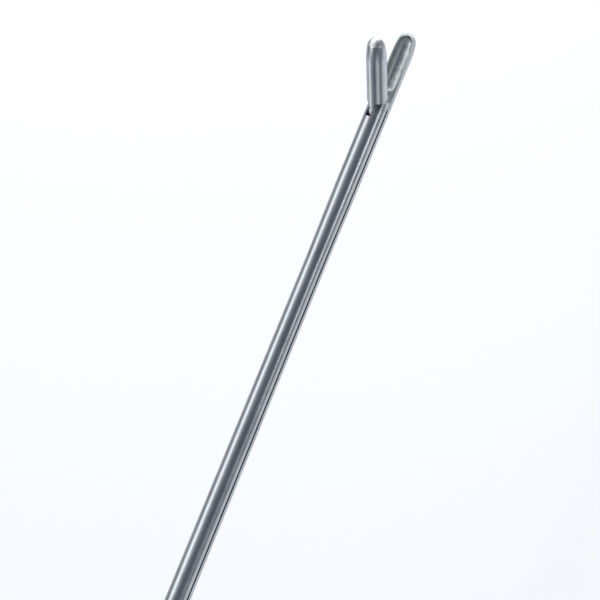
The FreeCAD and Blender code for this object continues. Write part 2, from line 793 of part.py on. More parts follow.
def lever_pivot_screw():
    """The hinge screw: head in the near cheek, plain shoulder in the bush, thread in the far cheek."""
    body = new_body("lever_pivot_screw", x=d.link_x, z=d.shaft_height - d.lever_drop)
    side = d.block_width / 2
    seat = -side + d.screw_head_height
    profile = Outline(body, "XY_Plane", name="Profile")
    profile.loop(
        (0.0, -side),
        (d.screw_head_radius - d.screw_bevel, -side),
        (d.screw_head_radius, -side + d.screw_bevel),
        (d.screw_head_radius, seat),
        (d.screw_shoulder_radius, seat),
        (d.screw_shoulder_radius, lever_slot / 2),
        (d.screw_thread_radius, lever_slot / 2),
        (d.screw_thread_radius, side - d.screw_inset),
        (0.0, side - d.screw_inset),
    )
    turn("Revolution", profile, "V_Axis", 360, "Turned")
    slot = Outline(body, "XZ_Plane", offset=side, name="DriverSlot")
    half = d.driver_slot_width / 2
    slot.box(-d.screw_head_radius - 1, d.screw_head_radius + 1, -half, half)
    pocket(slot, d.driver_slot_depth, "DriverSlotCut", both=False)
    return body


def up_shank(foot_x, foot_z, lean, along):
    """A point on a straight shank face that leans from its foot."""
    return foot_x + along * sine(lean), foot_z + along * cosine(lean)


def rear_leaf_root(rise=0.0):
    """The middle of the rear leaf's root, or a point a little further up the shank."""
    foot = foot_point(0.0, 0.0, d.thumb_bore_radius, d.rear_foot_angle)
    return up_shank(*foot, d.rear_shank_angle, d.leaf_root_rise + rise)


def front_leaf_root(rise=0.0):
    """The same on the lever, seen from its hinge."""
    foot = foot_point(d.finger_ring_reach, -d.finger_ring_drop, d.finger_bore_radius, d.front_foot_angle)
    return up_shank(*foot, -d.front_shank_angle, d.leaf_root_rise + rise)


def leaning_hole(body, x, z, lean, radius, deep, out=1.0):
    """A round hole in the XZ plane that starts out of a face and leans from +X towards +Z."""
    hole = Outline(body, "XZ_Plane", name="LeaningHole")
    out_x, out_z = cosine(lean), sine(lean)
    side_x, side_z = -1 * out_z * radius, out_x * radius
    hole.loop(
        (x + out_x * out, z + out_z * out),
        (x + out_x * out + side_x, z + out_z * out + side_z),
        (x - out_x * deep + side_x, z - out_z * deep + side_z),
        (x - out_x * deep, z - out_z * deep),
    )
    return turn("Groove", hole, "Edge1", 360, "LeaningHoleCut")


def leaf_holes(body, root_place, lean):
    """The tapped hole for a leaf's screw and the hole for its locating pin."""
    leaning_hole(body, *root_place(0.0), lean, d.spring_screw_radius, d.spring_screw_depth)
    leaning_hole(body, *root_place(d.spring_pin_rise), lean, d.spring_pin_radius, d.spring_pin_depth)


def spring_screw(label, x, z, lean):
    """A cheese-headed screw whose origin is on the shank face under the leaf."""
    thread = d.spring_screw_radius - d.spring_fit
    tip = d.leaf_thickness + d.spring_screw_head_height
    steps = [
        (-d.spring_screw_depth, 0.0),
        (-d.spring_screw_depth, thread),
        (d.leaf_thickness, thread),
        (d.leaf_thickness, d.spring_screw_head_radius),
        (tip - d.spring_screw_bevel, d.spring_screw_head_radius),
        (tip, d.spring_screw_head_radius - d.spring_screw_bevel),
        (tip, 0.0),
    ]
    return turned_screw(label, x, z, lean, steps, tip, d.spring_screw_head_radius)


def leaf(body, x, z, lean, tip_x, tip_z, side):
    """A leaf spring in side view: a flat root on the shank face, then a bow to its tip."""
    out_x, out_z = cosine(lean), sine(lean)
    down_x, down_z = (out_z, -1 * out_x) if side == "left" else (-1 * out_z, out_x)
    half = d.leaf_root_length / 2
    thick = d.leaf_thickness
    top_x, top_z = x - down_x * half, z - down_z * half
    bend_x, bend_z = x + down_x * half, z + down_z * half
    tip_side = -thick if side == "left" else thick
    turned = "right" if side == "left" else "left"
    sketch = Outline(body, "XZ_Plane", name="Leaf")
    sketch.loop(
        (top_x, top_z),
        (bend_x, bend_z),
        (tip_x + tip_side, tip_z, d.leaf_bow_radius, turned),
        (tip_x, tip_z),
        (bend_x + out_x * thick, bend_z + out_z * thick, d.leaf_bow_radius - thick, side),
        (top_x + out_x * thick, top_z + out_z * thick),
    )
    pad(sketch, d.leaf_width, "LeafPad")
    leaning_hole(body, x, z, lean, d.spring_screw_radius, 1.0, out=2.0)
    rise = d.spring_pin_rise
    leaning_hole(body, x - down_x * rise, z - down_z * rise, lean, d.spring_pin_radius, 1.0, out=2.0)
    return body


def rear_leaf_spring():
    body = new_body("rear_leaf_spring")
    tip_x = d.leaf_meeting_x - d.leaf_tip_gap / 2
    return leaf(body, *rear_leaf_root(), -d.rear_shank_angle, tip_x, d.leaf_meeting_z, "left")


def front_leaf_spring():
    body = lever_piece("front_leaf_spring")
    from_hinge_x = d.leaf_meeting_x + d.leaf_tip_gap / 2 - d.link_x
    from_hinge_z = d.leaf_meeting_z - (d.shaft_height - d.lever_drop)
    swing = lever_swing / 2
    tip_x = from_hinge_x * cosine(swing) + from_hinge_z * sine(swing)
    tip_z = from_hinge_z * cosine(swing) - from_hinge_x * sine(swing)
    return leaf(body, *front_leaf_root(), 180 + d.front_shank_angle, tip_x, tip_z, "right")


def spring_pin(label, x, z, lean):
    """A leaf's locating pin, flush with the leaf, drawn along its own +X axis."""
    body = new_body(label, x=x, z=z, turn=lean)
    radius = d.spring_pin_radius - d.spring_fit
    side = Outline(body, "YZ_Plane", offset=-d.spring_pin_depth, name="Side").circle(0.0, 0.0, radius)
    pad(side, d.spring_pin_depth + d.leaf_thickness, "SidePad", both=False)
    return body


def on_lever(x, z):
    """A place given from the lever's hinge, carried to where the open lever holds it."""
    swing = lever_swing / 2
    return (d.link_x + x * cosine(swing) - z * sine(swing),
            d.shaft_height - d.lever_drop + x * sine(swing) + z * cosine(swing))


front_lean = 180 + d.front_shank_angle + lever_swing / 2


def tang_rivets():
    """The two rivets that hold the shaft's tang in the head block."""
    body = new_body("tang_rivets", z=d.shaft_height)
    body.AllowCompound = True
    for place in rivet_places():
        rivet = Outline(body, "XZ_Plane", name="Rivet").circle(place, -d.rivet_depth, d.rivet_radius)
        pad(rivet, d.block_width, "RivetPad")
    return body


PIECES = [
    fixed_shaft(),
    rear_handle(),
    tang_rivets(),
    pin("stop_pin", stop_x, stop_z, d.stop_pin_radius, d.block_width),
    lever_pivot_screw(),
    pivot_washers(),
    rear_leaf_spring(),
    spring_screw("rear_spring_screw", *rear_leaf_root(), -d.rear_shank_angle),
    spring_pin("rear_spring_pin", *rear_leaf_root(d.spring_pin_rise), -d.rear_shank_angle),
    flush_pin("jaw_pivot_pin", jaw_pivot_x, d.shaft_height - d.pivot_depth, d.pivot_pin_radius),
    sliding_shaft(),
    guide_key("front_guide_key", d.front_key_setback),
    guide_key("rear_guide_key", d.rear_key_setback),
    pin("link_pin", d.link_x - slide_travel / 2, d.shaft_height + d.link_pin_height, d.link_pin_radius,
        d.tang_width),
    flush_pin("jaw_drive_pin", jaw_pivot_x - drive_lead, d.shaft_height + d.drive_height, d.drive_pin_radius),
    front_handle(),
    lever_bush(),
    front_leaf_spring(),
    spring_screw("front_spring_screw", *on_lever(*front_leaf_root()), front_lean),
    spring_pin("front_spring_pin", *on_lever(*front_leaf_root(d.spring_pin_rise)), front_lean),
    upper_jaw(),
]

doc.recompute()
for item in doc.Objects:
    if "Invalid" in item.State or "Error" in item.State:
        raise RuntimeError(f"{item.Name} ({item.Label}) failed: {item.State}")
for piece in PIECES:
    if piece.Shape.isNull() or not piece.Shape.isValid():
        raise RuntimeError(f"{piece.Label} has no valid shape")

os.makedirs("parts", exist_ok=True)
for piece in PIECES:
    piece.Shape.exportStep(f"parts/{piece.Label}.step")
    print(piece.Label, round(piece.Shape.Volume, 3), len(piece.Shape.Solids))
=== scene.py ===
import logging
import math
from dataclasses import dataclass, field
from enum import Enum

import bmesh
import bpy
from mathutils import Matrix, Vector


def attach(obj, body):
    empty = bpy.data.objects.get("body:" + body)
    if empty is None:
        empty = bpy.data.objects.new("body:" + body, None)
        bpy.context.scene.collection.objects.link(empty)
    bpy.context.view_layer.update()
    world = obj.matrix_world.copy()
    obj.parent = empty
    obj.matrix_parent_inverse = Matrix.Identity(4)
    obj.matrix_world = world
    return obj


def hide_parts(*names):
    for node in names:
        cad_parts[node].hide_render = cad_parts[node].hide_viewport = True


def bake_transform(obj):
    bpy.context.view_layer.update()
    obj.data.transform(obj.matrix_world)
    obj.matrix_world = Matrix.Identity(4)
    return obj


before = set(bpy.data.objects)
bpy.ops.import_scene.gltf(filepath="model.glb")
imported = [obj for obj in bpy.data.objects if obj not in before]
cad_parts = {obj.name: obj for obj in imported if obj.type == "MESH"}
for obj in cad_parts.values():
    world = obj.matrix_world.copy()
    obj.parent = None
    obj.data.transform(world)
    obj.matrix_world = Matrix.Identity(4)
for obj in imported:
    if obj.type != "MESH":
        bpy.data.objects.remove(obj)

LOG = logging.getLogger("forceps")

Colour = tuple[float, float, float]
Vec3 = tuple[float, float, float]
Pair = tuple[float, float]
Input = bpy.types.NodeSocket | float

IMAGE_WIDTH = 600  # pixels, the picture is square
SENSOR_WIDTH = 36.0  # mm, what the camera's lens length refers to
HINGE: Vec3 = (0.2278, 0.0, 0.05714)  # m, the middle of the jaw's hinge pin
SEAM_HEIGHT = 0.05809  # m, the middle of the parting line between the shaft's halves
OPEN_ANGLE = 37.0  # degrees that the moving jaw is open at rest
# Near-black painted shade for the gap between the rod halves and for small recesses.
SHADE_BLACK: Colour = (0.02, 0.024, 0.03)
FADE_OUT: Pair = (1.0, 0.0)


class Lay(Enum):
    """How the polishing lines of a steel surface run, as a stretch of the noise on each axis."""

    ALONG_SHAFT = (0.03, 1.0, 1.0)
    UPRIGHT = (1.0, 1.0, 0.04)
    BLASTED = (1.0, 1.0, 1.0)


class NodeMaths:
    """Adds small shader nodes to one tree, so that a finish reads as a formula."""

    def __init__(self, tree: bpy.types.NodeTree) -> None:
        """Takes the tree that the nodes go into."""
        self.tree = tree

    def add(self, kind: str) -> bpy.types.Node:
        """Adds one node of a kind."""
        return self.tree.nodes.new(kind)

    def link(self, value: Input | Colour, socket: bpy.types.NodeSocket) -> None:
        """Feeds a socket with another socket's value, or sets it to a plain value.

        Args:
            value: The other socket, a number, or a colour or vector.
            socket: The socket that takes it.
        """
        if isinstance(value, bpy.types.NodeSocket):
            self.tree.links.new(value, socket)
        elif isinstance(value, tuple) and socket.type == "RGBA":
            socket.default_value = (*value, 1.0)
        else:
            socket.default_value = value

    def math(self, operation: str, first: Input, second: Input = 0.0) -> bpy.types.NodeSocket:
        """Works out one operation on one or two numbers.

        Args:
            operation: The Math node's operation.
            first: Its first number.
            second: Its second number, for an operation that has one.

        Returns:
            The result.
        """
        node = self.add("ShaderNodeMath")
        node.operation = operation
        self.link(first, node.inputs[0])
        self.link(second, node.inputs[1])
        return node.outputs[0]

    def product(self, first: Input, *others: Input) -> Input:
        """Multiplies numbers.

        Args:
            first: The first number.
            others: The numbers that it is multiplied by.

        Returns:
            Their product.
        """
        for other in others:
            first = self.math("MULTIPLY", first, other)
        return first

    def vector(
        self, operation: str, first: Input | Vec3, second: Input | Vec3 = (0.0, 0.0, 0.0)
    ) -> bpy.types.Node:
        """Adds one operation on one or two vectors.

        Args:
            operation: The Vector Math node's operation.
            first: Its first vector.
            second: Its second vector, for an operation that has one.

        Returns:
            The node, whose outputs are a Vector and a Value.
        """
        node = self.add("ShaderNodeVectorMath")
        node.operation = operation
        self.link(first, node.inputs[0])
        self.link(second, node.inputs[1])
        return node

    def split(self, vector: bpy.types.NodeSocket) -> tuple[bpy.types.NodeSocket, ...]:
        """Splits a vector into its parts.

        Args:
            vector: The vector.

        Returns:
            Its x, y and z.
        """
        node = self.add("ShaderNodeSeparateXYZ")
        self.link(vector, node.inputs[0])
        return tuple(node.outputs)

    def ramp(self, value: Input, span: Pair, ends: Pair = (0.0, 1.0)) -> bpy.types.NodeSocket:
        """Turns one span of numbers smoothly into another and stays level outside it.

        Args:
            value: The number to turn.
            span: Where the ramp starts and ends.
            ends: The result at its start and at its end.

        Returns:
            The result.
        """
        node = self.add("ShaderNodeMapRange")
        node.interpolation_type = "SMOOTHSTEP"
        for name, number in zip(("From Min", "From Max", "To Min", "To Max"), (*span, *ends)):
            node.inputs[name].default_value = number
        self.link(value, node.inputs["Value"])
        return node.outputs["Result"]

    def noise(
        self, place: bpy.types.NodeSocket, per_metre: float, detail: float, lay: Vec3
    ) -> bpy.types.NodeSocket:
        """Adds a noise, stretched as the lay says.

        Args:
            place: The point on the piece.
            per_metre: How many cells of the noise lie on a metre.
            detail: How many finer layers the noise has.
            lay: The share of the cells' number on each axis.

        Returns:
            The noise's value.
        """
        mapping = self.add("ShaderNodeMapping")
        mapping.inputs["Scale"].default_value = tuple(per_metre * share for share in lay)
        noise = self.add("ShaderNodeTexNoise")
        noise.inputs["Scale"].default_value = 1.0
        noise.inputs["Detail"].default_value = detail
        noise.inputs["Roughness"].default_value = 0.6
        self.link(place, mapping.inputs["Vector"])
        self.link(mapping.outputs["Vector"], noise.inputs["Vector"])
        return noise.outputs["Fac"]

    def blend(self, first: Input, second: Input, share: Input) -> bpy.types.NodeSocket:
        """Mixes two numbers.

        Args:
            first: The number at a share of 0.
            second: The number at a share of 1.
            share: The share of the second.

        Returns:
            The mix.
        """
        node = self.add("ShaderNodeMix")
        for value, name in ((share, "Factor"), (first, "A"), (second, "B")):
            self.link(value, node.inputs[name])
        return node.outputs["Result"]

    def blend_colour(
        self, first: Input | Colour, second: Input | Colour, share: Input
    ) -> bpy.types.NodeSocket:
        """Mixes two colours.

        Args:
            first: The colour at a share of 0.
            second: The colour at a share of 1.
            share: The share of the second.

        Returns:
            The mix.
        """
        node = self.add("ShaderNodeMix")
        node.data_type = "RGBA"
        self.link(share, node.inputs["Factor"])
        for value, socket in zip((first, second), [s for s in node.inputs if s.type == "RGBA"]):
            self.link(value, socket)
        return next(s for s in node.outputs if s.type == "RGBA")


@dataclass(frozen=True)
class SeamGapShade:
    """The parting line between the shaft's halves, painted dark as the shade in its gap, as far as
    the jaws.
    """

    height: float = SEAM_HEIGHT
    line: Pair = (0.00013, 0.00028)  # m off the height, from painted shade to bare steel
    side: Pair = (0.0014, 0.0017)  # m off the middle plane, from bare steel to painted shade
    front: Pair = (0.2271, 0.2275)  # m along the shaft, from painted shade to bare steel
    colour: Colour = SHADE_BLACK

    def mark(self, maths: NodeMaths, place: bpy.types.NodeSocket) -> Input:
        """Marks the painted shade along the line.

        Args:
            maths: The material's nodes.
            place: The point on the piece.

        Returns:
            1 on the line, fading to 0 beside it.
        """
        x, y, z = maths.split(place)
        off = maths.math("ABSOLUTE", maths.math("SUBTRACT", z, self.height))
        return maths.product(
            maths.ramp(off, self.line, FADE_OUT),
            maths.ramp(maths.math("ABSOLUTE", y), self.side),
            maths.ramp(x, self.front, FADE_OUT),
        )


@dataclass(frozen=True)
class JawHeelShadow:
    """The painted shadow and reflection of the moving jaw on the slide beside its heel."""

    rear: Pair = (0.2258, 0.2275)  # m along the shaft, from bare steel to painted shadow
    front: Pair = (0.2284, 0.2286)  # and from painted shadow to bare steel
    side: Pair = (-0.0010, -0.0002)
    height: Pair = (SEAM_HEIGHT + 0.0009, SEAM_HEIGHT + 0.0014)
    strength: float = 0.85
    # Colour of the painted shadow.
    colour: Colour = (0.15, 0.17, 0.16)

    def mark(self, maths: NodeMaths, place: bpy.types.NodeSocket) -> Input:
        """Marks the painted shadow.

        Args:
            maths: The material's nodes.
            place: The point on the piece.

        Returns:
            A share that grows towards the heel.
        """
        x, y, z = maths.split(place)
        return maths.product(
            maths.ramp(x, self.rear, (0.0, self.strength)),
            maths.ramp(y, self.side, FADE_OUT),
            maths.ramp(z, self.height),
            maths.ramp(x, self.front, FADE_OUT),
        )


@dataclass(frozen=True)
class RecessShade:
    """A small recess, painted dark as the shade in it."""

    centre: Vec3
    fade: Pair  # m from the centre, from painted shade to bare steel
    strength: float = 0.95
    colour: Colour = SHADE_BLACK

    def mark(self, maths: NodeMaths, place: bpy.types.NodeSocket) -> Input:
        """Marks the recess with its strength near the centre, fading to 0."""
        distance = maths.vector("DISTANCE", place, self.centre).outputs["Value"]
        return maths.ramp(distance, self.fade, (self.strength, 0.0))


@dataclass(frozen=True)
class CupHollow:
    """The inside of a jaw's cup, satin with a pale bloom, with painted shade on its far wall and on
    its rim.
    """

    turn: float = 0.0  # degrees that the jaw is open
    axis_above_hinge: float = 0.00086  # m
    start: Pair = (0.0008, 0.0012)  # m past the hinge
    wall: Pair = (0.00188, 0.00192)  # m off the cup's axis
    satin: Pair = (0.38, 0.50)  # roughness without and with bloom
    bloom: Colour = (0.82, 0.86, 0.84)
    bloom_per_metre: float = 900.0
    bloom_detail: float = 5.0
    bloom_span: Pair = (0.42, 0.62)  # of the noise
    # Painted shade on the hollow's far wall, growing towards the far side.
    far_wall_shade: Colour = (0.30, 0.34, 0.33)
    far_wall_shade_span: Pair = (0.0002, 0.0016)  # m off the middle plane
    far_wall_shade_share: float = 0.7
    # The rim is painted darker as shade, darkest on the far side.
    rim_shade: Colour = (0.38, 0.41, 0.43)
    far_rim_shade: Colour = (0.20, 0.23, 0.23)
    far_side: Pair = (0.0004, 0.0014)
    rim_height: Pair = (0.000084, 0.00012)
    rim_width: Pair = (0.001128, 0.001316)
    rim_roughness: float = 0.46

    def dress(
        self, maths: NodeMaths, place: bpy.types.NodeSocket, colour: Input, gloss: Input
    ) -> tuple[Input, Input]:
        """Lays the hollow, the painted shade of its far wall and its rim over the steel's colour
        and roughness.

        Args:
            maths: The material's nodes.
            place: The point on the piece.
            colour: The steel's colour.
            gloss: The steel's roughness.

        Returns:
            The colour and the roughness with the cup.
        """
        inside, far_wall_shade, rim_shade = self._marks(maths, place)
        cells = maths.noise(place, self.bloom_per_metre, self.bloom_detail, Lay.BLASTED.value)
        bloom = maths.ramp(cells, self.bloom_span)
        colour = maths.blend_colour(colour, self.bloom, maths.product(inside, bloom))
        colour = maths.blend_colour(colour, self.far_wall_shade, far_wall_shade)
        far = maths.ramp(maths.split(place)[1], self.far_side)
        colour = maths.blend_colour(colour, maths.blend_colour(self.rim_shade, self.far_rim_shade, far), rim_shade)
        gloss = maths.blend(gloss, maths.ramp(bloom, (0.0, 1.0), self.satin), inside)
        return colour, maths.blend(gloss, self.rim_roughness, rim_shade)

    def _marks(self, maths: NodeMaths, place: bpy.types.NodeSocket) -> tuple[Input, ...]:
        """Marks the hollow, the painted shade of its far wall and its rim.

        Args:
            maths: The material's nodes.
            place: The point on the piece.

        Returns:
            Three marks that are 0 off their place.
        """
        closed = maths.add("ShaderNodeMapping")
        closed.vector_type = "TEXTURE"
        closed.inputs["Location"].default_value = HINGE
        closed.inputs["Rotation"].default_value = (0.0, -math.radians(self.turn), 0.0)
        maths.link(place, closed.inputs["Vector"])
        x, y, z = maths.split(closed.outputs["Vector"])
        height = maths.math("SUBTRACT", z, self.axis_above_hinge)
        squares = [maths.product(side, side) for side in (y, height)]
        from_axis = maths.math("SQRT", maths.math("ADD", *squares))
        past_hinge = maths.ramp(x, self.start)
        inside = maths.product(maths.ramp(from_axis, self.wall, FADE_OUT), past_hinge)
        far_wall_shade = maths.product(inside, maths.ramp(y, self.far_wall_shade_span, (0.0, self.far_wall_shade_share)))
        level = maths.ramp(maths.math("ABSOLUTE", height), self.rim_height, FADE_OUT)
        rim_shade = maths.product(level, maths.ramp(from_axis, self.rim_width), past_hinge)
        return inside, far_wall_shade, rim_shade


@dataclass(frozen=True)
class SteelFinish:
    """One finish of stainless steel, with polishing lines, clouds, scratches and fine relief, and
    any painted shade laid over it.
    """

    name: str
    light: Colour = (0.60, 0.63, 0.655)
    dark: Colour = (0.49, 0.52, 0.55)
    shade_span: Pair = (0.32, 0.68)  # of the noise, from dark to light
    roughness: Pair = (0.20, 0.30)
    roughness_span: Pair = (0.3, 0.7)
    lay: Lay = Lay.BLASTED
    grain_per_metre: float = 9000.0
    grain_detail: float = 6.0
    cloud_per_metre: float = 260.0
    cloud_detail: float = 3.0
    cloud_share: float = 0.45
    relief: float = 0.04
    relief_depth: float = 0.0001  # m
    rim_tint: Colour = (0.50, 0.52, 0.54)  # share left of a mirror-like rim at a glancing angle
    scratches: float = 0.5  # how far a scratch darkens the steel
    scratch_detail: float = 2.0
    scratch_stretch: float = 0.35
    scratch_span: Pair = (0.66, 0.74)  # of the noise
    scratch_shade: float = 0.55  # share of the dark steel's colour
    # Painted shade laid over the steel's colour.
    painted_shade: tuple[SeamGapShade | JawHeelShadow | RecessShade, ...] = ()
    hollow: CupHollow | None = None

    def material(self) -> bpy.types.Material:
        """Builds the node material, or returns it if it is already made.

        Returns:
            The material of this finish.
        """
        made = bpy.data.materials.get(self.name)
        if made:
            return made
        made = bpy.data.materials.new(self.name)
        made.use_nodes = True
        maths = NodeMaths(made.node_tree)
        shader = made.node_tree.nodes["Principled BSDF"]
        shader.inputs["Metallic"].default_value = 1.0
        shader.inputs["Specular Tint"].default_value = (*self.rim_tint, 1.0)
        place = maths.add("ShaderNodeTexCoord").outputs["Object"]
        grain = maths.noise(place, self.grain_per_metre, self.grain_detail, self.lay.value)
        colour, gloss = self._steel(maths, place, grain)
        # Lays each painted shade over the colour.
        for spot in self.painted_shade:
            colour = maths.blend_colour(colour, spot.colour, spot.mark(maths, place))
        if self.hollow:
            colour, gloss = self.hollow.dress(maths, place, colour, gloss)
        bump = maths.add("ShaderNodeBump")
        bump.inputs["Strength"].default_value = self.relief
        bump.inputs["Distance"].default_value = self.relief_depth
        for value, socket in (
            (grain, bump.inputs["Height"]),
            (colour, shader.inputs["Base Color"]),
            (gloss, shader.inputs["Roughness"]),
            (bump.outputs["Normal"], shader.inputs["Normal"]),
        ):
            maths.link(value, socket)
        return made

    def _steel(
        self, maths: NodeMaths, place: bpy.types.NodeSocket, grain: bpy.types.NodeSocket
    ) -> tuple[Input, Input]:
        """Works out the clean steel's colour and roughness.

        Args:
            maths: The material's nodes.
            place: The point on the piece.
            grain: The noise of the polishing lines.

        Returns:
            The colour and the roughness.
        """
        cloud = maths.noise(place, self.cloud_per_metre, self.cloud_detail, Lay.BLASTED.value)
        mixed = maths.blend(grain, cloud, self.cloud_share)
        colour = maths.blend_colour(self.dark, self.light, maths.ramp(mixed, self.shade_span))
        long_lay = tuple(share * self.scratch_stretch for share in self.lay.value)
        lines = maths.noise(place, self.grain_per_metre, self.scratch_detail, long_lay)
        scratch = maths.product(maths.ramp(lines, self.scratch_span), self.scratches)
        worn = tuple(part * self.scratch_shade for part in self.dark)
        colour = maths.blend_colour(colour, worn, scratch)
        return colour, maths.ramp(mixed, self.roughness_span, self.roughness)


ROD_STEEL = SteelFinish(
    "polished_rod_steel",
    roughness=(0.19, 0.27),
    lay=Lay.ALONG_SHAFT,
    # Painted shade: the seam gap, the moving jaw's shadow beside its heel, and two recesses.
    painted_shade=(
        SeamGapShade(),
        JawHeelShadow(),
        RecessShade((0.23030, -0.00073, 0.05790), (0.00024, 0.00040)),
        RecessShade((0.22885, -0.00132, 0.05795), (0.00012, 0.00042)),
    ),
    hollow=CupHollow(),
)
# The lip's steel is painted darker than the rod's, as the shade in the slot.
SHADED_LIP_STEEL = SteelFinish(
    "slot_lip_shaded_steel", light=(0.43, 0.45, 0.47), dark=(0.34, 0.36, 0.38), lay=Lay.ALONG_SHAFT
)
JAW_STEEL = SteelFinish(
    "polished_jaw_steel",
    roughness=(0.14, 0.21),
    grain_per_metre=5000.0,
    hollow=CupHollow(turn=OPEN_ANGLE),
)
HANDLE_STEEL = SteelFinish(
    "satin_handle_steel", roughness=(0.30, 0.42), grain_per_metre=6000.0, relief=0.12
)
PIN_STEEL = SteelFinish(
    "ground_pin_steel", light=(0.56, 0.59, 0.62), dark=(0.42, 0.45, 0.48), roughness=(0.22, 0.34)
)
SPRING_STEEL = SteelFinish(
    "spring_steel",
    light=(0.52, 0.55, 0.58),
    dark=(0.36, 0.38, 0.41),
    roughness=(0.24, 0.36),
    lay=Lay.UPRIGHT,
)


@dataclass(frozen=True)
class StripTree:
    """The Geometry Nodes that sweep a tapered spring strip along a line of edges."""

    material: bpy.types.Material
    name: str = "spring_strip"
    bend_points: int = 6
    edge_points: int = 3

    def build(self) -> bpy.types.NodeTree:
        """Makes the tree.

        Returns:
            The tree, with named inputs for the strip's sizes.
        """
        tree = bpy.data.node_groups.new(self.name, "GeometryNodeTree")
        tree.interface.new_socket("Line", in_out="INPUT", socket_type="NodeSocketGeometry")
        for size in ("Width", "Thickness", "Bend Radius", "Edge Radius", "Tip Share"):
            tree.interface.new_socket(size, in_out="INPUT", socket_type="NodeSocketFloat")
        tree.interface.new_socket("Strip", in_out="OUTPUT", socket_type="NodeSocketGeometry")
        given, result = tree.nodes.new("NodeGroupInput"), tree.nodes.new("NodeGroupOutput")
        line = tree.nodes.new("GeometryNodeMeshToCurve")
        bend = self._rounded(tree, self.bend_points)
        upright = tree.nodes.new("GeometryNodeSetCurveNormal")
        upright.mode = "Z_UP"
        share = tree.nodes.new("GeometryNodeSplineParameter")
        taper = tree.nodes.new("ShaderNodeMapRange")
        taper.inputs["To Min"].default_value = 1.0
        radius = tree.nodes.new("GeometryNodeSetCurveRadius")
        section = tree.nodes.new("GeometryNodeCurvePrimitiveQuadrilateral")
        edge = self._rounded(tree, self.edge_points)
        sweep = tree.nodes.new("GeometryNodeCurveToMesh")
        sweep.inputs["Fill Caps"].default_value = True
        finish = tree.nodes.new("GeometryNodeSetMaterial")
        finish.inputs["Material"].default_value = self.material
        real = tree.nodes.new("GeometryNodeRealizeInstances")
        for source, target in (
            (given.outputs["Line"], line.inputs["Mesh"]),
            (line.outputs["Curve"], bend.inputs["Curve"]),
            (given.outputs["Bend Radius"], bend.inputs["Radius"]),
            (bend.outputs["Curve"], upright.inputs["Curve"]),
            (share.outputs["Factor"], taper.inputs["Value"]),
            (given.outputs["Tip Share"], taper.inputs["To Max"]),
            (upright.outputs["Curve"], radius.inputs["Curve"]),
            (taper.outputs["Result"], radius.inputs["Radius"]),
            (given.outputs["Thickness"], section.inputs["Height"]),
            (given.outputs["Width"], section.inputs["Width"]),
            (section.outputs["Curve"], edge.inputs["Curve"]),
            (given.outputs["Edge Radius"], edge.inputs["Radius"]),
            (radius.outputs["Curve"], sweep.inputs["Curve"]),
            (edge.outputs["Curve"], sweep.inputs["Profile Curve"]),
            (sweep.outputs["Mesh"], real.inputs["Geometry"]),
            (real.outputs["Geometry"], finish.inputs["Geometry"]),
            (finish.outputs["Geometry"], result.inputs["Strip"]),
        ):
            tree.links.new(source, target)
        return tree

    @staticmethod
    def _rounded(tree: bpy.types.NodeTree, count: int) -> bpy.types.Node:
        """Adds a node that rounds a line's corners.

        Args:
            tree: The tree that the node goes into.
            count: How many points each corner gets.

        Returns:
            The node, with its Radius still to be fed.
        """
        node = tree.nodes.new("GeometryNodeFilletCurve")
        node.mode = "POLY"
        node.inputs["Count"].default_value = count
        node.inputs["Limit Radius"].default_value = True
        return node


@dataclass(frozen=True)
class LeafSpring:
    """One of the two leaf springs that push the handles apart and bend when they close; the strip
    keeps its rest shape.
    """

    node: str
    root_body: str
    tip_body: str
    root_top: Pair  # x and z of the strip's middle, m
    bend: Pair
    tip: Pair
    bulge: float  # m, how far the bow stands off its chord, towards the other leaf
    width: float = 0.004
    thickness: float = 0.00066
    bend_radius: float = 0.0012
    edge_radius: float = 0.00012
    tip_share: float = 0.8  # of the width and thickness, left at the tip
    blend_reach: float = 2.0  # chords from the bend to where the leaf would wholly follow its tip
    steps: int = 14
    sharp_angle: float = 40.0  # degrees

    def line(self) -> list[Vec3]:
        """Works out the strip's middle line.

        Returns:
            Its points, from the top of the root to the tip.
        """
        (x0, z0), (x1, z1) = self.bend, self.tip
        reach = math.hypot(x1 - x0, z1 - z0)
        off_x, off_z = -(z1 - z0) / reach, (x1 - x0) / reach
        bow = []
        for step in range(self.steps + 1):
            share = step / self.steps
            off = 4 * self.bulge * share * (1 - share)
            x, z = x0 + (x1 - x0) * share, z0 + (z1 - z0) * share
            bow.append((x + off_x * off, 0.0, z + off_z * off))
        return [(self.root_top[0], 0.0, self.root_top[1]), *bow]

    def build(self, tree: bpy.types.NodeTree) -> bpy.types.Object:
        """Sweeps the strip, turns it into a plain mesh and puts it in the CAD leaf's place.

        Args:
            tree: The strip's Geometry Nodes.

        Returns:
            The strip.
        """
        points = self.line()
        mesh = bpy.data.meshes.new(f"{self.node}_line")
        mesh.from_pydata(points, [(i, i + 1) for i in range(len(points) - 1)], [])
        strip = bpy.data.objects.new(f"{self.node}_strip", mesh)
        bpy.context.scene.collection.objects.link(strip)
        modifier = strip.modifiers.new("sweep", "NODES")
        modifier.node_group = tree
        sizes = {
            "Width": self.width,
            "Thickness": self.thickness,
            "Bend Radius": self.bend_radius,
            "Edge Radius": self.edge_radius,
            "Tip Share": self.tip_share,
        }
        for socket in tree.interface.items_tree:
            if socket.name in sizes:
                modifier[socket.identifier] = sizes[socket.name]
        bpy.context.view_layer.update()
        seen = strip.evaluated_get(bpy.context.evaluated_depsgraph_get())
        swept = bpy.data.meshes.new_from_object(seen)
        strip.modifiers.clear()
        strip.data = swept
        swept.shade_smooth()
        swept.set_sharp_from_angle(angle=math.radians(self.sharp_angle))
        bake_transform(strip)
        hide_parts(self.node)
        return strip


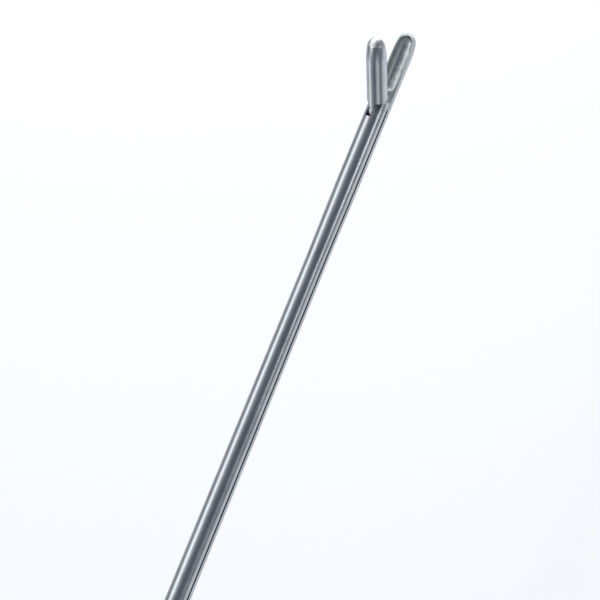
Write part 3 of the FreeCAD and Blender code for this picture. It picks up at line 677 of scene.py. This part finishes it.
@dataclass(frozen=True)
class SlotLip:
    """The curved lip of the slide beside the jaw's tongue, which leaves a three-cornered window."""

    # Darker steel, painted as the slot's shade.
    finish: SteelFinish = SHADED_LIP_STEEL
    radius: float = 0.00213
    axis_height: float = 0.058
    depth: float = 0.00030
    front_x: float = 0.22660
    rear_x: float = 0.22512
    window: tuple[Pair, Pair] = ((-0.00053, 0.22524), (0.00053, 0.22639))  # y and x of its edge
    half_width: float = 0.00066
    steps: int = 24
    sharp_angle: float = 30.0  # degrees

    def build(self) -> bpy.types.Object:
        """Makes the lip.

        Returns:
            The lip, which rides on the slide.
        """
        (low_y, low_x), (high_y, high_x) = self.window
        points: list[Vec3] = []
        for step in range(self.steps + 1):
            y = -self.half_width + 2 * self.half_width * step / self.steps
            share = min(max((y - low_y) / (high_y - low_y), 0.0), 1.0)
            start = self.rear_x if y < low_y else low_x + (high_x - low_x) * share
            top = self.axis_height + math.sqrt(self.radius**2 - y**2)
            points += [
                (start, y, top),
                (self.front_x, y, top),
                (self.front_x, y, top - self.depth),
                (start, y, top - self.depth),
            ]
        faces = [(0, 1, 2, 3), tuple(len(points) - 1 - i for i in range(4))]
        for row in range(self.steps):
            a, b = 4 * row, 4 * row + 4
            faces += [(a + (i + 1) % 4, a + i, b + i, b + (i + 1) % 4) for i in range(4)]
        mesh = bpy.data.meshes.new("slide_slot_lip")
        mesh.from_pydata(points, [], faces)
        shape = bmesh.new()
        shape.from_mesh(mesh)
        bmesh.ops.recalc_face_normals(shape, faces=shape.faces)
        shape.to_mesh(mesh)
        shape.free()
        mesh.materials.append(self.finish.material())
        mesh.shade_smooth()
        mesh.set_sharp_from_angle(angle=math.radians(self.sharp_angle))
        lip = bpy.data.objects.new("slide_slot_lip", mesh)
        bpy.context.scene.collection.objects.link(lip)
        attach(lip, "slide")
        return lip


@dataclass
class SubAssembly:
    """Some CAD nodes with their finishes, and the visible pieces that the solids lack."""

    finishes: dict[str, SteelFinish]

    def build(self) -> list[bpy.types.Object]:
        """Builds nothing, because most sub-assemblies are all in their solids."""
        return []

    def dress(self) -> list[bpy.types.Object]:
        """Gives every node its material.

        Returns:
            The nodes' objects.
        """
        dressed = []
        for node, finish in self.finishes.items():
            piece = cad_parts[node]
            piece.data.materials.clear()
            piece.data.materials.append(finish.material())
            dressed.append(piece)
        return dressed


@dataclass
class SpringPair(SubAssembly):
    """The two leaf springs, whose strips take the place of the solids."""

    finishes: dict[str, SteelFinish] = field(default_factory=dict)
    leaves: tuple[LeafSpring, LeafSpring] = (
        LeafSpring(
            "rear_leaf_spring",
            "handle_and_shaft",
            "lever",
            root_top=(0.02602, 0.03970),
            bend=(0.02227, 0.03264),
            tip=(0.03100, 0.01902),
            bulge=0.00055,
        ),
        LeafSpring(
            "front_leaf_spring",
            "lever",
            "handle_and_shaft",
            root_top=(0.04293, 0.04248),
            bend=(0.04528, 0.03484),
            tip=(0.03202, 0.01905),
            bulge=-0.00089,
        ),
    )

    def build(self) -> list[bpy.types.Object]:
        """Builds both strips from one tree."""
        tree = StripTree(SPRING_STEEL.material()).build()
        return [leaf.build(tree) for leaf in self.leaves]


@dataclass
class Shaft(SubAssembly):
    """The two half-round rods, with the lip beside the jaw's tongue."""

    finishes: dict[str, SteelFinish] = field(
        default_factory=lambda: dict.fromkeys(("fixed_shaft", "sliding_shaft"), ROD_STEEL)
    )
    lip: SlotLip = SlotLip()

    def build(self) -> list[bpy.types.Object]:
        """Builds the lip."""
        return [self.lip.build()]


@dataclass
class MovingJaw(SubAssembly):
    """The jaw that the slide works."""

    finishes: dict[str, SteelFinish] = field(default_factory=lambda: {"upper_jaw": JAW_STEEL})


@dataclass
class RingHandle(SubAssembly):
    """The two handles with their rings."""

    finishes: dict[str, SteelFinish] = field(
        default_factory=lambda: dict.fromkeys(("rear_handle", "front_handle"), HANDLE_STEEL)
    )


@dataclass
class Fasteners(SubAssembly):
    """The pins, screws, rivets, washers, keys and the bush."""

    finishes: dict[str, SteelFinish] = field(
        default_factory=lambda: dict.fromkeys(
            (
                "tang_rivets",
                "stop_pin",
                "lever_pivot_screw",
                "pivot_washers",
                "lever_bush",
                "link_pin",
                "jaw_pivot_pin",
                "jaw_drive_pin",
                "front_guide_key",
                "rear_guide_key",
                "rear_spring_screw",
                "rear_spring_pin",
                "front_spring_screw",
                "front_spring_pin",
            ),
            PIN_STEEL,
        )
    )


@dataclass(frozen=True)
class PhotoCamera:
    """The camera of the photograph, tied to the jaw hinge, which it shows at a known pixel."""

    azimuth: float = -2.37  # degrees
    elevation: float = 52.56
    roll: float = 65.85
    distance: float = 0.52  # m
    pixels_per_metre: float = 5493.0
    hinge_pixel: Pair = (382.28, 106.94)
    clip: Pair = (0.01, 20.0)  # m, the nearest and the farthest that it sees

    def build(self) -> bpy.types.Object:
        """Makes the camera and makes it the scene's own.

        Returns:
            The camera object.
        """
        a, e = math.radians(self.azimuth), math.radians(self.elevation)
        back = Vector((math.sin(a) * math.cos(e), -math.cos(a) * math.cos(e), math.sin(e)))
        level_up = (Vector((0, 0, 1)) - back * back.z).normalized()
        level_right = level_up.cross(back)
        tilt = math.radians(self.roll)
        up = level_up * math.cos(tilt) + level_right * math.sin(tilt)
        right = up.cross(back)
        centre_pixel = IMAGE_WIDTH / 2
        across = (centre_pixel - self.hinge_pixel[0]) / self.pixels_per_metre
        rise = (self.hinge_pixel[1] - centre_pixel) / self.pixels_per_metre
        target = Vector(HINGE) + right * across + up * rise
        data = bpy.data.cameras.new("photo_camera")
        data.sensor_width = SENSOR_WIDTH
        data.lens = self.pixels_per_metre * self.distance * SENSOR_WIDTH / IMAGE_WIDTH
        data.clip_start, data.clip_end = self.clip
        camera = bpy.data.objects.new("photo_camera", data)
        turn = Matrix((right, up, back)).transposed().to_4x4()
        camera.matrix_world = Matrix.Translation(target + back * self.distance) @ turn
        bpy.context.scene.collection.objects.link(camera)
        bpy.context.scene.camera = camera
        return camera


@dataclass(frozen=True)
class Softbox:
    """A white rectangular area light that faces a point of the shaft."""

    name: str
    towards: Vec3  # from the shaft to the light
    distance: float
    width: float
    length: float
    radiance: float

    def build(self, target: Vec3) -> bpy.types.Object:
        """Hangs the light.

        Args:
            target: The point that it faces.

        Returns:
            The light object.
        """
        data = bpy.data.lights.new(self.name, "AREA")
        data.shape = "RECTANGLE"
        data.size, data.size_y = self.width, self.length
        data.energy = self.radiance * math.pi * self.width * self.length
        light = bpy.data.objects.new(self.name, data)
        back = Vector(self.towards).normalized()
        along = Vector((1, 0, 0))
        along = (along - back * along.dot(back)).normalized()
        side = along.cross(back)
        turn = Matrix((side, along, back)).transposed().to_4x4()
        light.matrix_world = Matrix.Translation(Vector(target) + back * self.distance) @ turn
        light.visible_camera = False
        bpy.context.scene.collection.objects.link(light)
        return light


@dataclass(frozen=True)
class Glow:
    """A soft bright area of the studio's room, as the forceps see it."""

    towards: Vec3
    tightness: float  # power of the cosine of the angle from its middle
    radiance: float
    along_shaft: float = 1.0  # under 1 draws it out along the shaft

    def light(self, maths: NodeMaths, direction: bpy.types.NodeSocket) -> Input:
        """Works out the glow's radiance in a direction.

        Args:
            maths: The room's nodes.
            direction: The direction from the forceps.

        Returns:
            Its radiance there.
        """
        squeezed = maths.vector("MULTIPLY", direction, (self.along_shaft, 1.0, 1.0)).outputs[0]
        unit = maths.vector("NORMALIZE", squeezed).outputs[0]
        middle = tuple(Vector(self.towards).normalized())
        cosine = maths.vector("DOT_PRODUCT", unit, middle).outputs["Value"]
        facing = maths.math("MAXIMUM", cosine, 0.0)
        return maths.product(maths.math("POWER", facing, self.tightness), self.radiance)


@dataclass(frozen=True)
class Studio:
    """A pale floor, soft lights over the shaft and beside the jaws, and a dim room with glows."""

    floor_height: float = -0.0192  # m, just under the rings
    floor_side: float = 8.0
    floor_colour: Colour = (0.80, 0.81, 0.82)
    floor_roughness: float = 0.9
    floor_light: Colour = (0.985, 0.992, 1.0)
    floor_glow: Pair = (0.06, 0.43)  # near the viewer and behind the forceps
    floor_glow_span: Pair = (-0.82, -0.02)  # m, along y
    shaft_point: Vec3 = (0.2, 0.0, 0.058)
    dim_room: Colour = (0.118, 0.140, 0.166)
    lights: tuple[Softbox, ...] = (
        Softbox("overhead_softbox", (0.0, 0.588, 0.809), 0.9, 0.26, 1.6, 0.6),
        Softbox("low_strip", (0.17, -0.90, 0.38), 0.9, 0.10, 0.30, 3.0),
        Softbox("jaw_tip_light", (-0.33, 0.29, 0.89), 0.9, 0.12, 0.12, 6.0),
        Softbox("tip_panel", (0.84, 0.50, 0.22), 0.34, 0.32, 0.34, 1.7),
    )
    glows: tuple[Glow, ...] = (
        Glow((0.0, 0.588, 0.809), 18.0, 0.80, 0.35),
        Glow((0.0, 0.588, 0.809), 4.0, 0.36, 0.6),
        Glow((0.0, 0.97, 0.10), 24.0, 0.06, 0.35),
        Glow((0.0, -0.92, 0.39), 31.0, 0.14, 0.35),
        Glow((0.0, -1.0, 0.0), 12.0, 0.05, 0.35),
        Glow((-0.70, 0.69, 0.16), 48.0, 1.35),
        Glow((-0.81, -0.50, 0.28), 32.0, 0.7),
        Glow((0.95, 0.25, 0.20), 14.0, 1.4),
    )

    def build(self) -> None:
        """Sets the whole studio."""
        for light in self.lights:
            light.build(self.shaft_point)
        self._floor()
        self._room()
        settings = bpy.context.scene.view_settings
        settings.view_transform = "Standard"
        settings.look = "None"

    def _floor(self) -> None:
        """Lays the pale floor, which glows a little and gets dimmer towards the viewer."""
        half = self.floor_side / 2
        corners = [(-half, -half), (half, -half), (half, half), (-half, half)]
        mesh = bpy.data.meshes.new("studio_floor")
        mesh.from_pydata([(x, y, self.floor_height) for x, y in corners], [], [(0, 1, 2, 3)])
        floor = bpy.data.objects.new("studio_floor", mesh)
        bpy.context.scene.collection.objects.link(floor)
        paper = bpy.data.materials.new("pale_floor")
        paper.use_nodes = True
        maths = NodeMaths(paper.node_tree)
        place = maths.add("ShaderNodeTexCoord").outputs["Object"]
        glow = maths.ramp(maths.split(place)[1], self.floor_glow_span, self.floor_glow)
        shader = paper.node_tree.nodes["Principled BSDF"]
        for name, value in (
            ("Base Color", self.floor_colour),
            ("Roughness", self.floor_roughness),
            ("Specular IOR Level", 0.0),
            ("Emission Color", self.floor_light),
            ("Emission Strength", glow),
        ):
            maths.link(value, shader.inputs[name])
        mesh.materials.append(paper)

    def _room(self) -> None:
        """Fills the room with dim bluish light and its white glows."""
        world = bpy.data.worlds.new("studio_room")
        bpy.context.scene.world = world
        world.use_nodes = True
        maths = NodeMaths(world.node_tree)
        direction = maths.add("ShaderNodeTexCoord").outputs["Generated"]
        total: Input = 0.0
        for glow in self.glows:
            total = maths.math("ADD", total, glow.light(maths, direction))
        colour = maths.vector("ADD", total, self.dim_room).outputs[0]
        maths.link(colour, world.node_tree.nodes["Background"].inputs["Color"])


def main() -> None:
    """Builds and dresses the forceps, sets the studio and the camera, and reports each piece."""
    logging.basicConfig(level=logging.INFO, format="%(message)s")
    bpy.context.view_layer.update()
    for assembly in (SpringPair(), Shaft(), MovingJaw(), RingHandle(), Fasteners()):
        for piece in assembly.build() + assembly.dress():
            faces = len(piece.data.polygons)
            LOG.info("%s: %s, %d faces", type(assembly).__name__, piece.name, faces)
    studio = Studio()
    studio.build()
    LOG.info("Studio: %d lights and %d glows", len(studio.lights), len(studio.glows))
    camera = PhotoCamera().build()
    LOG.info("PhotoCamera: %s, %.0f mm lens", camera.name, camera.data.lens)


if __name__ == "__main__":
    main()
